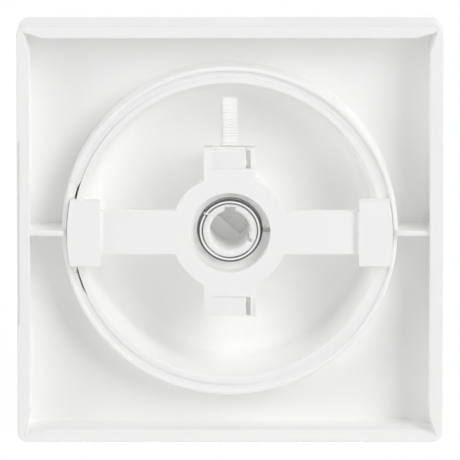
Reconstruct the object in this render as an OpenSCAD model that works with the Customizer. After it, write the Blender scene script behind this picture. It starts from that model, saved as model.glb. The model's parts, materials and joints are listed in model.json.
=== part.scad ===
// Rotary control cover: a square moulded plate that carries a large round knob.
// The knob enters the plate's collar from the front, and a cross-shaped carrier is snapped
// onto its two hooks from the rear, so that the plate is held between the two.
// A keyed socket with a split clamp ring grips the shaft of the control behind the cover.
//
// Everything is drawn on the bench: x to the right and y up as seen from the rear, z to the rear,
// with z = 0 at the plate's rear rim. as_mounted() then stands it up as it hangs on a wall.

/* [Cover plate] */
// Outer width and height of the square plate
plate_w = 63; // [60:0.5:80]
// Depth from the rear rim to the front face
plate_d = 8.8; // [8:0.1:12]
// Thickness of the side walls
wall_t = 1.9; // [1.2:0.1:2.4]
// Thickness of the front wall
front_t = 2.2; // [1.4:0.1:3]
// Corner radius of the rear rim, seen from the rear
rim_corner_r = 1.4; // [0.8:0.1:2.4]
// Rounding of the front edges and front corners
front_edge_r = 1.8; // [1:0.1:3]
// How much narrower each side is at the front than at the rim
wall_draft = 0.1; // [0:0.05:0.5]
// How far each inner corner is relieved outwards
corner_relief = 0.8; // [0.2:0.1:1]
// Length of each inner corner's relief along the wall
corner_relief_l = 2.1; // [1:0.1:4]
// Length of the low step in the rim's left and right edges
rim_step_l = 27.4; // [16:0.2:40]
// Width of the low step
rim_step_w = 0.35; // [0.2:0.05:0.9]
// Depth of the low step
rim_step_d = 0.3; // [0.2:0.1:2]

/* [Collar] */
// Radius of the collar's bore
collar_bore_r = 23.25; // [21:0.05:25]
// Thickness of the collar's wall
collar_t = 1.6; // [1.2:0.05:2]
// Thickness of the raised outer lip
lip_t = 0.65; // [0.5:0.05:0.9]
// Distance from the rim plane to the top of the lip
lip_drop = 2.2; // [1.6:0.1:2.5]
// Distance from the rim plane to the ledge inside the lip
ledge_drop = 2.7; // [2.5:0.05:3.8]
// Thickness of the two ribs between the collar and the side walls
rib_t = 0.7; // [0.5:0.1:1.6]
// Distance from the rim plane to the ribs' edges
rib_drop = 0.8; // [0.5:0.1:3]

/* [Knob] */
// Radial gap between the knob's skirt and the collar's bore
skirt_gap = 0.06; // [0.05:0.01:0.6]
// Thickness of the skirt at its rim
skirt_t = 1; // [0.8:0.05:1.8]
// Taper of the skirt's inside, from its rim to the start of the fillet
skirt_taper = 0.9; // [0.4:0.1:2]
// Rounding of the skirt's inner rim edge
rim_round_r = 0.4; // [0.1:0.05:0.5]
// Fillet between the skirt and the knob's floor
cup_fillet_r = 3; // [0.8:0.1:4]
// How far the knob's front disc overlaps the collar's bore
disc_overlap = 1.25; // [0.6:0.05:3]
// How far the knob stands out from the plate's front face
knob_proud = 4.8; // [3.5:0.1:9]
// Thickness of the knob's front wall
knob_face_t = 1.6; // [1.2:0.1:2]
// Rounding of the knob's front edge
knob_edge_r = 1.5; // [0.5:0.1:2]
// Axial gap between the knob's disc and the plate's front face
face_gap = 0.3; // [0.2:0.05:0.6]
// Width of the two snap hooks
hook_w = 4.8; // [3:0.1:5.4]
// Thickness of the hooks' stems
hook_t = 1.15; // [0.8:0.05:1.5]
// Thickness of the hooks' heads
hook_head_t = 1.05; // [0.7:0.05:1.2]
// Distance from the hub's edge to the hooks' inner faces
hook_offset = 1.05; // [0.6:0.05:1.6]
// How far the hooks' heads reach over their ledges
hook_reach = 1.6; // [0.8:0.05:2]
// Wall of the boss that holds the socket's flange
boss_t = 1.2; // [0.8:0.1:2]

/* [Carrier] */
// Distance from the rim plane to the carrier's rear face
carrier_drop = 1.2; // [0.6:0.1:1.6]
// Width of the two long arms
arm_w = 6.5; // [5:0.1:8]
// Wall of the hub around the recess
hub_wall = 2.7; // [2:0.1:3.2]
// Thickness of the hub's disc
hub_t = 1.3; // [1:0.1:2]
// Wall of the well below the hub, around the recess
well_wall = 0.9; // [0.6:0.1:1.4]
// Depth of the well from the carrier's rear face
well_d = 4.2; // [3.6:0.1:5]
// Width of the recess's floor around the clamp ring
recess_w = 1.15; // [0.6:0.05:1.6]
// Depth of the recess around the clamp ring
recess_d = 2.4; // [1.2:0.1:3]
// Width of the notch in the recess
notch_w = 0.75; // [0.4:0.05:1.5]
// Depth of the notch below the recess's floor
notch_d = 0.8; // [0.3:0.1:1.2]
// Distance from the rim plane to the rear face of the end blocks
block_drop = 0.3; // [0.1:0.1:0.6]
// Width of the end blocks
block_w = 9.8; // [8:0.1:14]
// Length of the end blocks along the arms
block_l = 5; // [3.5:0.1:7]
// Fillet between each long arm and its block
block_fillet_r = 0.4; // [0.1:0.05:0.5]
// Running gap between the blocks' round ends and the lip
block_gap = 0.08; // [0.03:0.01:0.1]
// Axial gap between the blocks and the ledge
ledge_gap = 0.25; // [0.15:0.05:0.4]
// Width of the two short arms
short_arm_w = 7.7; // [7:0.1:9]
// How far the short arms reach past the hooks' heads
short_arm_past = 0.2; // [0.1:0.05:0.6]
// Thickness of the short arms
short_arm_t = 2.4; // [2.2:0.1:3]
// Width of the release slot at the right of each hook
release_w = 0.65; // [0.3:0.05:0.7]

/* [Socket] */
// Diameter of the control's shaft
shaft_d = 6; // [4:0.1:6.4]
// Wall of the socket's sleeve
sleeve_t = 1; // [0.8:0.05:1.2]
// Distance from the rim plane to the socket's mouth
mouth_drop = 2.75; // [2:0.05:3.4]
// Wall left at the socket's closed end
socket_end_t = 0.65; // [0.4:0.05:1]
// Depth of the half-moon step at the bottom of the bore
half_moon_d = 1; // [0.4:0.1:1.4]
// Distance of the half-moon step's edge from the axis
half_moon_r = -0.6; // [-1.6:0.1:1.6]
// How far the half-moon step stays inside the bore's wall
half_moon_inset = 0.3; // [0.2:0.05:0.6]
// Chamfer of the socket's mouth
mouth_chamfer = 0.3; // [0.1:0.05:0.5]
// Width of the keyway
key_w = 1.65; // [1:0.05:2.4]
// Wall left behind the keyway and the relief slot
key_web = 0.42; // [0.3:0.02:0.6]
// Width of the relief slot
relief_w = 0.6; // [0.3:0.05:1]
// How far the socket's flange stands out from the sleeve
flange_step = 2.1; // [1.6:0.1:2.4]
// Thickness of the socket's flange
flange_t = 1.6; // [1.2:0.1:2]
// Height of the flange above the knob's floor
flange_lift = 2.2; // [1.6:0.1:2.8]
// How much each of the flange's two flats cuts off its radius
flange_flat = 0.7; // [0.3:0.1:1]

/* [Clamp ring] */
// Radial thickness of the steel ring
ring_t = 0.7; // [0.5:0.05:0.85]
// Width of the slit
slit_w = 0.4; // [0.3:0.05:0.8]
// Direction of the slit, seen from the rear, from the right towards the top
slit_angle = 145; // [100:5:260]
// Slant of the slit across the ring's wall
slit_slant = 25; // [0:5:40]

/* [Pointer] */
// Width of the pointer's foot on the knob's floor
pointer_w = 2; // [1.6:0.1:3]
// Width of the pointer's line on the knob's face
pointer_line_w = 1.3; // [0.8:0.1:1.5]
// Height of the foot above the knob's floor
pointer_h = 0.5; // [0.4:0.1:1.4]
// Gap between the upper hook's stem and the pointer
pointer_gap = 0.1; // [0.05:0.05:2]
// Pitch of the ribs across the foot
pointer_pitch = 0.45; // [0.35:0.05:0.9]
// Depth of the grooves between the ribs
pointer_groove = 0.15; // [0.1:0.05:0.3]

/* [Fits] */
// Clearance around pieces that are put together and then stay
seat_gap = 0.05; // [0.03:0.01:0.1]

/* [Hidden] */
$fn = 96;
hull_fn = 32;
arc_steps = 6;
edge_chamfer = 0.15;
overlap = 0.3;
mark_r = 0.9;
mark_d = 0.06;
mark_at = [9.3, -10.4];
relief_angle = -26;
half_moon_angle = 48;

// Cover plate and collar
half_w = plate_w / 2;
pocket_half = half_w - wall_t;
front_z = -plate_d;
plate_floor_z = front_z + front_t;
collar_r = collar_bore_r + collar_t;
lip_r = collar_r - lip_t;
ledge_z = -ledge_drop;

// Knob
skirt_r = collar_bore_r - skirt_gap;
disc_r = collar_bore_r + disc_overlap;
disc_rear_z = front_z - face_gap;
knob_front_z = front_z - knob_proud;
knob_floor_z = knob_front_z + knob_face_t;
skirt_rim_z = ledge_z + ledge_gap;
skirt_in_r = skirt_r - skirt_t;
cup_floor_r = skirt_in_r - skirt_taper - cup_fillet_r;

// Socket and clamp ring
bore_r = shaft_d / 2;
sleeve_r = bore_r + sleeve_t;
mouth_z = -mouth_drop;
half_moon_z = knob_floor_z + socket_end_t;
bore_z = half_moon_z + half_moon_d;
flange_r = sleeve_r + flange_step;
flange_front_z = knob_floor_z + flange_lift;
flange_z = flange_front_z + flange_t;
slot_r = sleeve_r - key_web;
ring_in_r = sleeve_r + seat_gap;
ring_r = ring_in_r + ring_t;
boss_r = flange_r + seat_gap + boss_t;

// Carrier
carrier_z = -carrier_drop;
arm_under_z = skirt_rim_z;
block_r = lip_r - block_gap;
block_in = block_r - block_l;
tube_bore_r = ring_r + 2 * seat_gap;
tube_r = flange_r;
recess_r = tube_bore_r + recess_w;
hub_r = recess_r + hub_wall;
hook_r = hub_r + hook_offset;
hook_end_r = hook_r + hook_t + hook_reach;
short_arm_end = hook_end_r + short_arm_past;
hook_top_z = carrier_z - seat_gap;
hook_ledge_z = hook_top_z - hook_head_t;
window_in = hook_r - seat_gap;
window_out = hook_r + hook_t + 2 * seat_gap;

// Pointer
pointer_in = hook_r + hook_t + pointer_gap;
pointer_out = cup_floor_r - seat_gap;

function arc(c, r, from, to) =
    [for (i = [0:arc_steps]) let (a = from + (to - from) * i / arc_steps) c + r * [cos(a), sin(a)]];

function turned(p, a) = [p.x * cos(a) - p.y * sin(a), p.x * sin(a) + p.y * cos(a)];

module as_mounted() {
    rotate([90, 0, 180]) children();
}

// A profile in distance from the axis and z, drawn out to both sides of the upright centre plane
module across(width) {
    translate([-width / 2, 0, 0]) rotate([90, 0, 90]) linear_extrude(width) children();
}

module tube(outer_r, inner_r, low, high) {
    translate([0, 0, low]) difference() {
        cylinder(r = outer_r, h = high - low);
        translate([0, 0, -overlap]) cylinder(r = inner_r, h = high - low + 2 * overlap);
    }
}

// A hole from the height low to past the rim plane
module hole(r, low) {
    translate([0, 0, low]) cylinder(r = r, h = overlap - low);
}

module plate_form() {
    rim = half_w - rim_corner_r;
    front = half_w - wall_draft - front_edge_r;
    hull() for (x = [-1, 1], y = [-1, 1]) {
        translate([x * rim, y * rim, -rim_step_d])
            cylinder(r = rim_corner_r, h = rim_step_d, $fn = hull_fn);
        translate([x * front, y * front, front_z + front_edge_r]) sphere(front_edge_r, $fn = hull_fn);
    }
}

module plate_pocket() {
    corner = [
        [pocket_half, pocket_half - corner_relief_l],
        [pocket_half + corner_relief, pocket_half + corner_relief],
        [pocket_half - corner_relief_l, pocket_half]
    ];
    translate([0, 0, plate_floor_z]) linear_extrude(plate_d)
        polygon([for (q = [0:3]) for (p = corner) turned(p, 90 * q)]);
}

module collar() {
    rotate_extrude() polygon([
        [collar_bore_r, plate_floor_z - overlap],
        [collar_r, plate_floor_z - overlap],
        [collar_r, -lip_drop - edge_chamfer],
        [collar_r - edge_chamfer, -lip_drop],
        [lip_r + edge_chamfer, -lip_drop],
        [lip_r, -lip_drop - edge_chamfer],
        [lip_r, ledge_z],
        [collar_bore_r, ledge_z]
    ]);
}

module side_ribs() {
    start = collar_r - overlap;
    height = -rib_drop - plate_floor_z + overlap;
    for (side = [-1, 1]) translate([side * (start + pocket_half + overlap) / 2, 0, plate_floor_z - overlap])
        translate([0, 0, height / 2]) cube([pocket_half + overlap - start, rib_t, height], center = true);
}

module rim_steps() {
    for (side = [-1, 1]) translate([side * half_w, 0, 0])
        cube([2 * rim_step_w, rim_step_l, 2 * rim_step_d], center = true);
}

module cover_plate() {
    color("white") as_mounted() difference() {
        union() {
            difference() {
                plate_form();
                plate_pocket();
            }
            collar();
            side_ribs();
        }
        translate([0, 0, front_z - overlap]) cylinder(r = collar_bore_r, h = plate_d);
        rim_steps();
    }
}

module knob_cup() {
    fillet_c = [cup_floor_r, knob_floor_z + cup_fillet_r];
    edge_c = [disc_r - knob_edge_r, knob_front_z + knob_edge_r];
    rotate_extrude() polygon(concat(
        [[0, knob_front_z]],
        arc(edge_c, knob_edge_r, -90, 0),
        [
            [disc_r, disc_rear_z],
            [skirt_r, disc_rear_z],
            [skirt_r, skirt_rim_z]
        ],
        arc([skirt_in_r + rim_round_r, skirt_rim_z - rim_round_r], rim_round_r, 90, 180),
        arc(fillet_c, cup_fillet_r, 0, -90),
        [[0, knob_floor_z]]
    ));
}

module socket_flange(gap) {
    r = flange_r + gap;
    flat = flange_r - flange_flat + gap;
    intersection() {
        cylinder(r = r, h = flange_t);
        cube([2 * flat, 3 * r, 3 * flange_t], center = true);
    }
}

module hooks() {
    profile = [
        [hook_r, knob_floor_z - overlap],
        [hook_r + hook_t, knob_floor_z - overlap],
        [hook_r + hook_t, hook_ledge_z],
        [hook_end_r, hook_ledge_z],
        [hook_end_r, hook_top_z - 2 * edge_chamfer],
        [hook_end_r - 2 * edge_chamfer, hook_top_z],
        [hook_r, hook_top_z]
    ];
    for (turn = [0, 180]) rotate(turn) across(hook_w) polygon(profile);
}

module rotary_knob() {
    line_l = pointer_out - pointer_in - pointer_w + pointer_line_w;
    color("ghostwhite") as_mounted() difference() {
        union() {
            knob_cup();
            tube(boss_r, sleeve_r + seat_gap, knob_floor_z - overlap, flange_z - 4 * seat_gap);
            hooks();
        }
        translate([0, 0, flange_front_z]) socket_flange(seat_gap);
        translate([0, (pointer_in + pointer_out) / 2, knob_front_z])
            cube([pointer_line_w + 2 * seat_gap, line_l + 2 * seat_gap, 4 * knob_face_t], center = true);
        translate([mark_at.x, mark_at.y, knob_floor_z - mark_d]) cylinder(r = mark_r, h = 2 * mark_d);
    }
}

module long_arms() {
    arm_h = carrier_z - arm_under_z;
    block_h = -block_drop - arm_under_z;
    translate([0, 0, arm_under_z + arm_h / 2]) cube([2 * block_in, arm_w, arm_h], center = true);
    intersection() {
        for (side = [-1, 1]) translate([side * (block_in + block_r) / 2, 0, arm_under_z + block_h / 2])
            cube([block_r - block_in, block_w, block_h], center = true);
        translate([0, 0, arm_under_z]) cylinder(r = block_r, h = block_h);
    }
    fillet = concat(
        [[block_in + overlap, carrier_z - overlap], [block_in + overlap, carrier_z + block_fillet_r]],
        arc([block_in - block_fillet_r, carrier_z + block_fillet_r], block_fillet_r, 0, -90),
        [[block_in - block_fillet_r, carrier_z - overlap]]
    );
    for (turn = [90, -90]) rotate(turn) across(arm_w) polygon(fillet);
}

module short_arms() {
    translate([0, 0, carrier_z - short_arm_t / 2])
        cube([short_arm_w, 2 * short_arm_end, short_arm_t], center = true);
}

// The pocket that takes a hook's head, the window that its stem comes up through, and the release slot
module hook_pockets() {
    pocket = [
        [window_in, carrier_z - 2 * short_arm_t],
        [window_out, carrier_z - 2 * short_arm_t],
        [window_out, hook_ledge_z],
        [short_arm_end + overlap, hook_ledge_z],
        [short_arm_end + overlap, carrier_z + overlap],
        [window_in, carrier_z + overlap]
    ];
    slot_l = hook_end_r - window_in;
    for (flip = [0, 1]) mirror([0, flip, 0]) {
        across(hook_w + 2 * seat_gap) polygon(pocket);
        translate([hook_w / 2, window_in, hook_ledge_z]) cube([release_w, slot_l, short_arm_t]);
    }
}

module carrier_bridge() {
    color("whitesmoke") as_mounted() difference() {
        union() {
            long_arms();
            short_arms();
            translate([0, 0, carrier_z - hub_t]) cylinder(r = hub_r, h = hub_t);
            translate([0, 0, carrier_z - well_d]) cylinder(r = recess_r + well_wall, h = well_d);
            translate([0, 0, flange_z]) cylinder(r = tube_r, h = carrier_z - flange_z);
        }
        hole(tube_bore_r, flange_z - overlap);
        hole(recess_r, carrier_z - recess_d);
        translate([0, -notch_w / 2, carrier_z - recess_d - notch_d])
            cube([recess_r, notch_w, notch_d + overlap]);
        hook_pockets();
    }
}

module key_slot(width, angle, low) {
    rotate(angle) translate([0, -width / 2, low]) cube([slot_r, width, mouth_z - low + overlap]);
}

// The slanted slit through the ring's wall, and the form of the socket's rib that lies in it
module ring_slit(width) {
    rotate(slit_angle) translate([(ring_r + ring_in_r) / 2, 0, (flange_z + mouth_z) / 2])
        rotate(slit_slant) cube([4 * ring_t, width, 2 * (mouth_z - flange_z)], center = true);
}

module shaft_socket() {
    color("white") as_mounted() difference() {
        union() {
            translate([0, 0, knob_floor_z]) cylinder(r = sleeve_r, h = mouth_z - knob_floor_z);
            translate([0, 0, flange_front_z]) socket_flange(0);
            intersection() {
                tube(ring_r - 2 * seat_gap, sleeve_r - overlap, flange_z - overlap, mouth_z);
                ring_slit(slit_w - 2 * seat_gap);
            }
        }
        hole(bore_r, bore_z);
        translate([0, 0, mouth_z - mouth_chamfer])
            cylinder(r1 = bore_r, r2 = bore_r + 2 * mouth_chamfer, h = 2 * mouth_chamfer);
        intersection() {
            hole(bore_r - half_moon_inset, half_moon_z);
            rotate(half_moon_angle) translate([half_moon_r, -bore_r, half_moon_z]) cube(2 * bore_r);
        }
        key_slot(key_w, 90, bore_z);
        key_slot(relief_w, relief_angle, flange_z);
    }
}

module clamp_ring() {
    color("silver") as_mounted() difference() {
        tube(ring_r, ring_in_r, flange_z, mouth_z);
        ring_slit(slit_w);
    }
}

module pointer_strip() {
    length = pointer_out - pointer_in;
    end = (pointer_w - pointer_line_w) / 2;
    grooves = floor(length / pointer_pitch) - 1;
    first = pointer_in + (length - (grooves - 1) * pointer_pitch) / 2;
    color("ivory") as_mounted() difference() {
        union() {
            translate([-pointer_w / 2, pointer_in, knob_floor_z]) cube([pointer_w, length, pointer_h]);
            translate([-pointer_line_w / 2, pointer_in + end, knob_front_z])
                cube([pointer_line_w, length - 2 * end, knob_face_t + pointer_h]);
        }
        for (i = [0:grooves - 1]) translate([0, first + i * pointer_pitch, knob_floor_z + pointer_h])
            cube([2 * pointer_w, pointer_pitch / 2, 2 * pointer_groove], center = true);
    }
}

cover_plate();
rotary_knob();
carrier_bridge();
shaft_socket();
clamp_ring();
pointer_strip();
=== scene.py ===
import json
import math

import bmesh
import bpy
from mathutils import Matrix, Vector

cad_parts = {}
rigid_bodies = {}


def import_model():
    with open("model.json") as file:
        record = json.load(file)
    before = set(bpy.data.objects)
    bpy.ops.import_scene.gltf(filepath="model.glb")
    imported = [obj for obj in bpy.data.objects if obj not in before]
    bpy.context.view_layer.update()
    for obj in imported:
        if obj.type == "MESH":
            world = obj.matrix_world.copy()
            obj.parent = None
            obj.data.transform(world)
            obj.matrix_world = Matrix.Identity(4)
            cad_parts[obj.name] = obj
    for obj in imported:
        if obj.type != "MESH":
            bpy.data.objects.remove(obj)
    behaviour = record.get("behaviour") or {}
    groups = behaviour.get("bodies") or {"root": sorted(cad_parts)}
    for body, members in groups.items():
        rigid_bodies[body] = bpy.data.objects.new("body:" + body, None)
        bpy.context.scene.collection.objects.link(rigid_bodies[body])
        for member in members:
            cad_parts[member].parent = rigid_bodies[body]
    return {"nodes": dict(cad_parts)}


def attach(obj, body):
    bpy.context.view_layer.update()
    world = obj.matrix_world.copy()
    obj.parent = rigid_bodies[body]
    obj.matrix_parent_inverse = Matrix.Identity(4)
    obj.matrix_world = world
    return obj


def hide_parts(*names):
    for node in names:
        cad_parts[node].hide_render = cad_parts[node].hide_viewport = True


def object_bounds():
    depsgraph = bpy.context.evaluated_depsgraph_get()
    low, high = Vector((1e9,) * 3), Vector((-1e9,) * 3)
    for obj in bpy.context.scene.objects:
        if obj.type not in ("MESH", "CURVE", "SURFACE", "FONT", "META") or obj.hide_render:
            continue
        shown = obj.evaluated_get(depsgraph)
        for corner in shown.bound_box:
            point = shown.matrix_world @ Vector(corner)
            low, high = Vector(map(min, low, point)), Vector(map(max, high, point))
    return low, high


mm = 0.001

for leftover in list(bpy.data.objects):
    bpy.data.objects.remove(leftover)
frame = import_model()
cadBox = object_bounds()
nodes = frame["nodes"]
scene = bpy.context.scene
print("frame loaded:", ", ".join(sorted(nodes)))


def show(name, data):
    made = bpy.data.objects.new(name, data)
    scene.collection.objects.link(made)
    return made


# node maths as plain expressions: a Wire is one output socket
class Wire:
    def __init__(self, tree, socket):
        self.tree, self.socket = tree, socket

    def math(self, operation, first, second=0.0):
        maths = self.tree.nodes.new("ShaderNodeMath")
        maths.operation = operation
        for socket, value in zip(maths.inputs, (first, second)):
            if isinstance(value, Wire):
                self.tree.links.new(value.socket, socket)
            else:
                socket.default_value = value
        return Wire(self.tree, maths.outputs[0])

    def __add__(self, other):
        return self.math("ADD", self, other)

    def __radd__(self, other):
        return self.math("ADD", other, self)

    def __sub__(self, other):
        return self.math("SUBTRACT", self, other)

    def __rsub__(self, other):
        return self.math("SUBTRACT", other, self)

    def __mul__(self, other):
        return self.math("MULTIPLY", self, other)

    def __rmul__(self, other):
        return self.math("MULTIPLY", other, self)

    def __truediv__(self, other):
        return self.math("DIVIDE", self, other)

    def __rtruediv__(self, other):
        return self.math("DIVIDE", other, self)

    def __pow__(self, other):
        return self.math("POWER", self, other)

    def __rpow__(self, other):
        return self.math("POWER", other, self)


# any other node: its type, its settings, then the values or links of its sockets
class Sheet:
    def __init__(self, tree):
        self.tree = tree

    def add(self, kind, settings=None, values=None, out=0):
        made = self.tree.nodes.new(kind)
        for key, value in (settings or {}).items():
            setattr(made, key, value)
        for key, value in (values or {}).items():
            self.feed(made.inputs[key], value)
        return Wire(self.tree, made.outputs[out])

    def feed(self, socket, value):
        for one in value if isinstance(value, list) else [value]:
            if isinstance(one, Wire):
                self.tree.links.new(one.socket, socket)
            else:
                socket.default_value = one


class Finish(Sheet):
    def __init__(self, name):
        self.material = bpy.data.materials.new(name)
        self.material.use_nodes = True
        super().__init__(self.material.node_tree)
        self.shader = self.tree.nodes["Principled BSDF"]
        self.output = self.tree.nodes["Material Output"]

    def set(self, **values):
        for key, value in values.items():
            self.feed(self.shader.inputs[key.replace("_", " ")], value)
        return self.material

    def place(self, stretch=(1, 1, 1)):
        spot = self.add("ShaderNodeTexCoord", out="Object")
        return self.add("ShaderNodeMapping", None, {"Vector": spot, "Scale": stretch})

    def noise(self, scale, detail, roughness, where=None):
        return self.add("ShaderNodeTexNoise", None, {
            "Vector": where or self.place(), "Scale": scale, "Detail": detail, "Roughness": roughness})

    def blend(self, factor, first, second):
        return self.add("ShaderNodeMix", {"data_type": "RGBA"}, {0: factor, 6: first, 7: second}, out=2)

    def ramp(self, value, low, high):
        return self.add("ShaderNodeMapRange", {"interpolation_type": "SMOOTHSTEP"}, {
            "Value": value, "From Min": low, "From Max": high})

    # a coordinate in millimetres
    def along(self, axis):
        spot = self.place((1 / mm, 1 / mm, 1 / mm))
        return self.add("ShaderNodeSeparateXYZ", None, {"Vector": spot}, out=axis)

    def depth(self):
        return 0 - self.along("Y")

    def axisDistance(self):
        x, z = self.along("X"), self.along("Z")
        return (x * x + z * z) ** 0.5


# white plastic out of a spark-eroded mould: flow clouds and fine grain; painted light as a faint emission
# glow where the knob is thin and along the pointer, and painted shade in the pointer's grooves; its depth
# and its distance from the axis are in millimetres
def mouldedPlastic(name, look):
    finish = Finish(name)
    cloud = finish.noise(look["cloudScale"], detail=3.0, roughness=0.55)
    grain = finish.noise(look["grainScale"], detail=2.0, roughness=0.6)
    tone = finish.blend(cloud, (*look["dark"], 1), (*look["light"], 1))
    glow = (*look["glow"], 1)
    # painted shade: the bottoms of the pointer's grooves are darkened by depth
    if "grooves" in look:
        groove = finish.ramp(finish.depth(), *look["grooves"])
        tone = finish.blend(groove, tone, (*look["grooveShade"], 1))
    # painted light: a faint emission glow on the knob's thin floor, standing in for light through the
    # plastic
    if "paintedGlowFrom" in look:
        paintedGlowMask = finish.ramp(finish.depth(), *look["paintedGlowFrom"])
        glow = finish.blend(paintedGlowMask, (0, 0, 0, 1), glow)
    # painted light: emission glow growing towards the pointer's outer end
    if "farFrom" in look:
        far = finish.ramp(finish.axisDistance(), *look["farFrom"])
        glow = finish.blend(far, glow, (*look["farGlow"], 1))
    # painted light: emission glow on the pointer's line in the knob's face
    if "faceFrom" in look:
        face = finish.ramp(finish.depth(), *look["faceFrom"])
        glow = finish.blend(face, glow, (*look["faceGlow"], 1))
    rough = look["rough"] + (grain + cloud - 1) * look["roughSpread"]
    bump = finish.add("ShaderNodeBump", None, {
        "Height": grain, "Strength": look["bump"], "Distance": look["bumpDepth"] * mm})
    return finish.set(
        Base_Color=tone, Roughness=rough, Normal=bump, IOR=1.5, Specular_IOR_Level=look["gloss"],
        Subsurface_Weight=look["milk"], Subsurface_Radius=look["milkTint"],
        Subsurface_Scale=look["milkDepth"] * mm, Emission_Color=glow, Emission_Strength=1.0)


# drawn steel: painted shade grey towards its inner wall and, at its outer edge, dark with scale and painted
# shadow, so it looks bright along its crown
def springSteel(name, look):
    finish = Finish(name)
    lines = finish.noise(look["lineScale"], detail=3.0, roughness=0.6, where=finish.place(look["stretch"]))
    # painted shade: grey towards the ring's inner wall
    inside = 1 - finish.ramp(finish.axisDistance(), *look["insideTo"])
    # scale and painted shadow: dark at the outer edge of the ring's rear face
    outside = finish.ramp(finish.axisDistance(), *look["scaleFrom"])
    scale = outside * (1 - finish.ramp(finish.depth(), *look["scaleDepth"]))
    tone = finish.blend(lines, (*look["dark"], 1), (*look["light"], 1))
    tone = finish.blend(inside, tone, (*look["inside"], 1))
    tone = finish.blend(scale, tone, (*look["scale"], 1))
    rough = look["rough"] + (lines - 0.5) * look["roughSpread"] + scale * look["scaleRough"]
    bump = finish.add("ShaderNodeBump", None, {
        "Height": lines, "Strength": look["bump"], "Distance": look["bumpDepth"] * mm})
    return finish.set(Base_Color=tone, Roughness=rough, Normal=bump, Metallic=1.0)


whiteLook = {
    "dark": (0.925, 0.925, 0.92), "light": (0.94, 0.94, 0.935), "glow": (0, 0, 0),
    "cloudScale": 90.0, "grainScale": 4200.0, "bump": 0.12, "bumpDepth": 0.02,
    "rough": 0.6, "roughSpread": 0.1, "gloss": 0.2,
    "milk": 0.2, "milkDepth": 0.4, "milkTint": (1, 0.98, 0.94),
}
plateFinish = mouldedPlastic("plateWhite", whiteLook)
# the knob: painted light as a faint emission glow on its thin floor
knobFinish = mouldedPlastic("knobWhite", whiteLook | {
    "glow": (0.05, 0.05, 0.049), "paintedGlowFrom": (10.5, 11.95),
})
# the carrier: a lighter copy of the same white, painted light for its evenly lit face
carrierFinish = mouldedPlastic("carrierWhite", whiteLook | {
    "dark": (0.945, 0.945, 0.94), "light": (0.96, 0.96, 0.955),
})
socketFinish = mouldedPlastic("socketWhite", whiteLook)
# the pointer: a lighter white with painted light as emission glow along it and on its face line, and
# painted shade in its grooves
pointerFinish = mouldedPlastic("pointerWhite", whiteLook | {
    "dark": (0.95, 0.95, 0.945), "light": (0.965, 0.965, 0.96), "milk": 0.0,
    "grooves": (11.53, 11.66), "grooveShade": (0.87, 0.87, 0.865),
    "glow": (0.09, 0.09, 0.089), "farGlow": (0.24, 0.24, 0.238), "farFrom": (11.0, 19.0),
    "faceGlow": (0.17, 0.17, 0.168), "faceFrom": (12.0, 13.0),
})
steelFinish = springSteel("springSteel", {
    "dark": (0.88, 0.88, 0.88), "light": (0.93, 0.93, 0.92), "lineScale": 5200.0, "stretch": (1, 0.06, 1),
    # painted shade towards the inner wall
    "inside": (0.3, 0.3, 0.3), "insideTo": (4.15, 4.3),
    # scale and painted shadow at the outer edge
    "scale": (0.13, 0.13, 0.13), "scaleFrom": (4.4, 4.52), "scaleDepth": (2.95, 3.1), "scaleRough": 0.2,
    "rough": 0.24, "roughSpread": 0.12, "bump": 0.15, "bumpDepth": 0.01,
})
print("finishes made")


# geometry recipes: a tree with named sizes, turned into a plain mesh
class Recipe(Sheet):
    def __init__(self, name, look, *sizes):
        super().__init__(bpy.data.node_groups.new(name, "GeometryNodeTree"))
        self.look = look
        for size in sizes:
            self.tree.interface.new_socket(size, in_out="INPUT", socket_type="NodeSocketFloat")
        self.tree.interface.new_socket("Geometry", in_out="OUTPUT", socket_type="NodeSocketGeometry")
        self.start = self.tree.nodes.new("NodeGroupInput")
        self.end = self.tree.nodes.new("NodeGroupOutput")

    def __getitem__(self, size):
        return Wire(self.tree, self.start.outputs[size])

    def spot(self, x=0.0, y=0.0, z=0.0):
        return self.add("ShaderNodeCombineXYZ", None, {"X": x, "Y": y, "Z": z})

    def along(self, axis):
        spot = self.add("GeometryNodeInputPosition")
        return self.add("ShaderNodeSeparateXYZ", None, {"Vector": spot}, out=axis)

    def make(self, name, geometry, finish):
        solid = self.add("GeometryNodeRealizeInstances", None, {"Geometry": geometry})
        dressed = self.add("GeometryNodeSetMaterial", None, {"Geometry": solid, "Material": finish})
        self.tree.links.new(dressed.socket, self.end.inputs[0])
        piece = show(name, bpy.data.meshes.new(name))
        steps = piece.modifiers.new("recipe", "NODES")
        steps.node_group = self.tree
        for socket in self.tree.interface.items_tree:
            if socket.in_out == "INPUT":
                steps[socket.identifier] = self.look[socket.name] * mm
        made = piece.evaluated_get(bpy.context.evaluated_depsgraph_get())
        mesh = bpy.data.meshes.new_from_object(made)
        piece.modifiers.clear()
        piece.data = mesh
        return piece


def settle(piece, node, body):
    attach(piece, body)
    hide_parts(node)


# in millimetres and degrees
mouldLook = {"merge": 0.002, "flat": 0.2, "corner": 24, "widest": 0.5}


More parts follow.
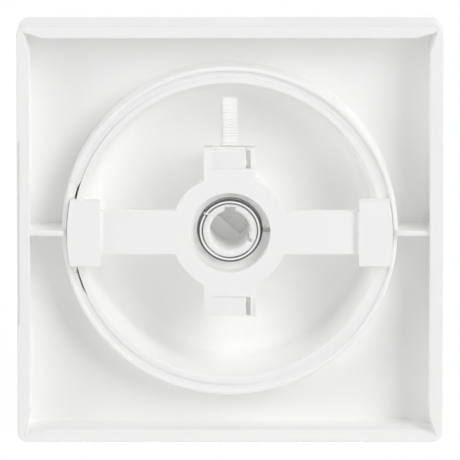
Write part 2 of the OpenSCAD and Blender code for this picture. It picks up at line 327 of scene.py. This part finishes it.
# a moulded piece: its own merged mesh, with each edge rounded as much as edgeWidth says for that place,
# and corners moved sideways and upwards as much as shift says
def moulded(node, name, finish, steps, edgeWidth, shift=None):
    mesh = nodes[node].data.copy()
    mesh.name = name
    work = bmesh.new()
    work.from_mesh(mesh)
    bmesh.ops.remove_doubles(work, verts=work.verts, dist=mouldLook["merge"] * mm)
    flat = math.radians(mouldLook["flat"])
    bmesh.ops.dissolve_limit(work, angle_limit=flat, verts=work.verts, edges=work.edges)
    for corner in work.verts if shift else ():
        x, y, z = corner.co / mm
        sideways, upwards = shift(x, -y, z, math.hypot(x, z))
        corner.co += Vector((sideways, 0, upwards)) * mm
    bmesh.ops.triangulate(work, faces=work.faces, ngon_method="BEAUTY")
    weight = work.edges.layers.float.new("bevel_weight_edge")
    for edge in work.edges:
        if len(edge.link_faces) == 2 and edge.calc_face_angle() > math.radians(mouldLook["corner"]):
            x, y, z = (edge.verts[0].co + edge.verts[1].co) / 2 / mm
            edge[weight] = edgeWidth(x, -y, z, math.hypot(x, z)) / mouldLook["widest"]
            edge.smooth = edge[weight] > 0
    for face in work.faces:
        face.smooth = True
    work.to_mesh(mesh)
    work.free()
    mesh.materials.clear()
    mesh.materials.append(finish)
    piece = show(name, mesh)
    rounding = piece.modifiers.new("edges", "BEVEL")
    rounding.limit_method = "WEIGHT"
    rounding.width = mouldLook["widest"] * mm
    rounding.segments = steps
    rounding.use_clamp_overlap = False
    shading = piece.modifiers.new("shade", "WEIGHTED_NORMAL")
    shading.keep_sharp = True
    return piece


# places are in millimetres: depth from the rim plane, r from the knob's axis
plateLook = {
    "steps": 3, "edge": 0.22, "collarEdge": 0.05, "stepEdge": 0.12, "ribEdge": 0.15,
    "rimTo": 1, "boreTo": 23.4, "collarTo": 25.2, "ribsTo": 29.9,
    "stepFrom": 30.9, "stepInner": 31.3, "stepHalf": 14, "stepTop": 0.1,
    "boreR": 23.25, "near": 0.05, "boreDepth": 7, "slit": 0.28, "slitAt": ((5, 6.5), (-9, -6.2)),
}


def plateEdge(x, depth, z, r):
    look = plateLook
    if depth > look["rimTo"] and r < look["collarTo"]:
        return 0.0 if r < look["boreTo"] else look["collarEdge"]
    if abs(x) > look["stepFrom"] and abs(z) < look["stepHalf"] and depth < look["rimTo"]:
        innerTop = abs(x) < look["stepInner"] and depth < look["stepTop"]
        return look["stepEdge"] if innerTop else 0.0
    if max(abs(x), abs(z)) < look["ribsTo"] and depth < look["rimTo"]:
        return look["ribEdge"]
    return look["edge"]


# the knob leans to the right in its collar, so the slit opens on the left, beside the carrier's block
def plateShift(x, depth, z, r):
    look = plateLook
    leftBore = x > 0 and depth < look["boreDepth"] and abs(r - look["boreR"]) < look["near"]
    if leftBore and any(low < z < high for low, high in look["slitAt"]):
        return x / r * look["slit"], z / r * look["slit"]
    return 0, 0


plate = moulded("cover_plate", "coverPlate", plateFinish, plateLook["steps"], plateEdge, plateShift)
settle(plate, "cover_plate", "cover")


knobLook = {
    "steps": 2, "edge": 0.05, "discEdge": 0.12, "skirtFrom": 21, "discFrom": 9, "sharpTo": 4,
    "skirtR": 23.19, "near": 0.03, "skirtTo": 3, "skirtOut": 0.04,
    "headTo": 2.4, "headHalf": 2.5, "headAt": (9.7, 12.6), "headOut": 0.045,
    "heelTo": 9.8, "chamferFrom": 12.1, "chamferOut": 0.4, "endFrom": 12.4, "endOut": 0.19,
}


def knobEdge(x, depth, z, r):
    look = knobLook
    if r > look["skirtFrom"]:
        return 0.0 if depth < look["discFrom"] else look["discEdge"]
    return 0.0 if depth < look["sharpTo"] else look["edge"]


# the skirt's edge all but meets the collar, and the hooks' heads all but meet their pockets
def knobShift(x, depth, z, r):
    look = knobLook
    if depth < look["skirtTo"] and abs(r - look["skirtR"]) < look["near"]:
        return x / r * look["skirtOut"], z / r * look["skirtOut"]
    heel, end = look["headAt"]
    if depth > look["headTo"] or abs(x) > look["headHalf"] or not heel < abs(z) < end:
        return 0, 0
    sideways = look["headOut"] if x > 0 else 0
    if 0 < z < look["heelTo"]:
        return sideways, -look["headOut"]      # inner edge of the upper head
    if z < -look["endFrom"]:
        return sideways, -look["endOut"]       # end of the lower head, flush with its arm
    if z < -look["chamferFrom"]:
        return sideways, -look["chamferOut"]
    return sideways, 0


knob = moulded("rotary_knob", "rotaryKnob", knobFinish, knobLook["steps"], knobEdge, knobShift)
settle(knob, "rotary_knob", "knob")


carrierLook = {
    "steps": 3, "edge": 0.09, "endEdge": 0.05, "hubEdge": 0.06, "wellEdge": 0.03,
    "pocketHalf": 3.4, "pocketAt": (9.4, 12.9), "endFrom": 23.8, "hubTo": 6.2, "wellFrom": 2,
}


def carrierEdge(x, depth, z, r):
    look = carrierLook
    start, end = look["pocketAt"]
    if abs(x) < look["pocketHalf"] and start < abs(z) < end:
        return 0.0
    if r > look["endFrom"]:
        return look["endEdge"]      # round ends that run in the lip
    if r < look["hubTo"]:
        return look["hubEdge"] if depth < look["wellFrom"] else look["wellEdge"]
    return look["edge"]


carrier = moulded("carrier_bridge", "carrierBridge", carrierFinish, carrierLook["steps"], carrierEdge)
settle(carrier, "carrier_bridge", "knob")


socketLook = {"steps": 2, "edge": 0.06}


def socketEdge(x, depth, z, r):
    return socketLook["edge"]


socket = moulded("shaft_socket", "shaftSocket", socketFinish, socketLook["steps"], socketEdge)
settle(socket, "shaft_socket", "knob")
print("moulded pieces made")


# the split ring: a rounded bar bent round the sleeve, its two ends cut on a slant
ringLook = {
    "inner": 4.05, "outer": 4.75, "front": 8.2, "rear": 2.75, "edge": 0.2, "edgeSteps": 4, "bendSteps": 160,
    "slit": 0.4, "slitAt": 35, "slant": 25,
}


def bendRing(look):
    recipe = Recipe("splitRing", look, "inner", "outer", "front", "rear", "edge")
    middle = (recipe["inner"] + recipe["outer"]) / 2
    opening = math.degrees(look["slit"] / ((look["inner"] + look["outer"]) / 2))
    bar = recipe.add("GeometryNodeCurvePrimitiveQuadrilateral", {"mode": "RECTANGLE"}, {
        "Width": recipe["outer"] - recipe["inner"], "Height": recipe["front"] - recipe["rear"]})
    bar = recipe.add("GeometryNodeFilletCurve", {"mode": "POLY"}, {
        "Curve": bar, "Radius": recipe["edge"], "Count": look["edgeSteps"]})
    bend = recipe.add("GeometryNodeCurveArc", {"mode": "RADIUS"}, {
        "Resolution": look["bendSteps"], "Radius": middle,
        "Start Angle": math.radians(look["slitAt"] + opening / 2),
        "Sweep Angle": math.radians(360 - opening)})
    ring = recipe.add("GeometryNodeCurveToMesh", None, {
        "Curve": bend, "Profile Curve": bar, "Fill Caps": True})
    x, y = recipe.along("X"), recipe.along("Y")
    turn = ((x * x + y * y) ** 0.5 - middle) / middle * math.tan(math.radians(look["slant"]))
    slanted = recipe.add("ShaderNodeVectorRotate", {"rotation_type": "Z_AXIS"}, {
        "Vector": recipe.add("GeometryNodeInputPosition"), "Angle": turn})
    ring = recipe.add("GeometryNodeSetPosition", None, {"Geometry": ring, "Position": slanted})
    ring = recipe.add("GeometryNodeTransform", None, {
        "Geometry": ring, "Rotation": (math.radians(90), 0, 0),
        "Translation": recipe.spot(y=(recipe["front"] + recipe["rear"]) / -2)})
    return recipe.make("clampRing", ring, steelFinish)


ring = bendRing(ringLook)
settle(ring, "clamp_ring", "knob")


# the pointer: a foot with round ribs across it, and the line that shows on the knob's face
pointerLook = {
    "width": 2.0, "inner": 11.0, "outer": 18.24, "base": 12.0, "top": 11.5, "line": 1.3, "face": 13.6,
    "groove": 0.17, "pitch": 0.45, "ribSteps": 8, "merge": 0.001,
}


def ribPointer(look):
    recipe = Recipe(
        "ribbedPointer", look, "width", "inner", "outer", "base", "top", "line", "face", "groove")
    length = recipe["outer"] - recipe["inner"]
    middle = (recipe["outer"] + recipe["inner"]) / 2
    ribs = round((look["outer"] - look["inner"]) / look["pitch"])
    sheet = recipe.add("GeometryNodeMeshGrid", None, {
        "Size X": recipe["width"], "Size Y": length, "Vertices X": 2,
        "Vertices Y": ribs * look["ribSteps"] + 1})
    foot = recipe.add("GeometryNodeExtrudeMesh", {"mode": "FACES"}, {
        "Mesh": sheet, "Offset Scale": recipe["base"] - recipe["top"], "Individual": False})
    top = Wire(recipe.tree, foot.socket.node.outputs["Top"])
    turn = recipe.along("Y") / length * (2 * math.pi * ribs)
    dip = (turn.math("COSINE", turn) + 1) / 2 * recipe["groove"]
    foot = recipe.add("GeometryNodeSetPosition", None, {
        "Geometry": foot, "Selection": top, "Offset": recipe.spot(z=0 - dip)})
    under = recipe.add("GeometryNodeFlipFaces", None, {"Mesh": sheet})
    foot = recipe.add("GeometryNodeJoinGeometry", None, {"Geometry": [foot, under]})
    foot = recipe.add("GeometryNodeMergeByDistance", None, {
        "Geometry": foot, "Distance": look["merge"] * mm})
    foot = recipe.add("GeometryNodeTransform", None, {
        "Geometry": foot, "Rotation": (math.radians(-90), 0, 0),
        "Translation": recipe.spot(y=0 - recipe["base"], z=middle)})
    line = recipe.add("GeometryNodeMeshCube", None, {"Size": recipe.spot(
        recipe["line"], recipe["face"] - recipe["base"] + recipe["groove"],
        length - recipe["width"] + recipe["line"])})
    line = recipe.add("GeometryNodeTransform", None, {"Geometry": line, "Translation": recipe.spot(
        y=(recipe["face"] + recipe["base"] - recipe["groove"]) / -2, z=middle)})
    whole = recipe.add("GeometryNodeMeshBoolean", {"operation": "UNION", "solver": "EXACT"}, {
        "Mesh 2": [foot, line]})
    return recipe.make("pointerStrip", whole, pointerFinish)


pointer = ribPointer(pointerLook)
settle(pointer, "pointer_strip", "knob")
print("clamp ring and pointer made")


# rays that see the paper or the sky itself, straight or in a shiny surface
def plainRays(sheet):
    path = sheet.tree.nodes.new("ShaderNodeLightPath")
    straight, mirrored, through = (
        Wire(sheet.tree, path.outputs[f"Is {kind} Ray"]) for kind in ("Camera", "Glossy", "Transmission"))
    return straight + mirrored + through


# white paper under the part and all round it
stageLook = {
    "floor": 6.0, "white": (1, 1, 1, 1), "shade": (0.95, 0.95, 0.95, 1), "keep": 0.95, "glow": 1.012,
}
floorMesh = bpy.data.meshes.new("floor")
half, low = stageLook["floor"] / 2, cadBox[0][2]
corners = [(-half, -half, low), (half, -half, low), (half, half, low), (-half, half, low)]
floorMesh.from_pydata(corners, [], [(0, 1, 2, 3)])
floor = show("floor", floorMesh)
paper = Finish("paper")
glow = paper.add("ShaderNodeEmission", None, {"Color": stageLook["white"], "Strength": stageLook["glow"]})
matt = paper.add("ShaderNodeBsdfDiffuse", None, {"Color": stageLook["shade"]})
mix = paper.add("ShaderNodeMixShader", None, {0: plainRays(paper) * stageLook["keep"], 1: matt, 2: glow})
paper.tree.links.new(mix.socket, paper.output.inputs["Surface"])
paper.tree.nodes.remove(paper.shader)
floorMesh.materials.append(paper.material)

lightLook = {
    "sky": 0.35,
    "key": {"power": 6.95, "size": 0.6, "tall": 1.1, "far": 1.2, "from": (-0.635, 0.613, 0.469)},
    "left": {"power": 3.95, "size": 0.8, "tall": 0.6, "far": 1.2, "from": (0.852, 0.397, 0.342)},
    "behind": {"power": 12.5, "size": 1.6, "tall": 1.6, "far": 1.6, "from": (0, -1.0, 0.35)},
}
world = bpy.data.worlds.new("studio")
scene.world = world
world.use_nodes = True
sky = Sheet(world.node_tree)
background = sky.tree.nodes["Background"]
sky.feed(background.inputs["Strength"], plainRays(sky) * (1 - lightLook["sky"]) + lightLook["sky"])
sky.feed(background.inputs["Color"], (1, 1, 1, 1))

for name in ("key", "left", "behind"):
    look = lightLook[name]
    lamp = bpy.data.lights.new(name, "AREA")
    lamp.shape = "ELLIPSE"
    lamp.size, lamp.size_y, lamp.energy = look["size"], look["tall"], look["power"]
    holder = show(name, lamp)
    holder.location = Vector(look["from"]).normalized() * look["far"]
    holder.rotation_euler = (-holder.location).to_track_quat("-Z", "Y").to_euler()

# the camera looks down a little on the rear; a pixel's size is in millimetres, at the origin
view = {
    "elevation": 12.4, "far": 2.1, "pixel": 0.1479, "originAt": (229.9, 234.7), "frame": 460, "sensor": 36,
}
tilt = math.radians(view["elevation"])
back = Vector((0, math.cos(tilt), math.sin(tilt)))
right, up = Vector((-1, 0, 0)), Vector((0, -math.sin(tilt), math.cos(tilt)))
centre = view["frame"] / 2
aim = (right * (centre - view["originAt"][0]) + up * (view["originAt"][1] - centre)) * view["pixel"] * mm
lens = bpy.data.cameras.new("camera")
lens.sensor_width = view["sensor"]
lens.lens = view["sensor"] * view["far"] / (view["pixel"] * mm * view["frame"])
camera = show("camera", lens)
facing = Matrix((right, up, back)).transposed().to_4x4()
camera.matrix_world = Matrix.Translation(aim + back * view["far"]) @ facing
bpy.context.scene.camera = camera
scene.view_settings.view_transform = "Standard"
scene.cycles.diffuse_bounces = 12      # light goes back and forth between the white walls
print("stage, light and camera set")
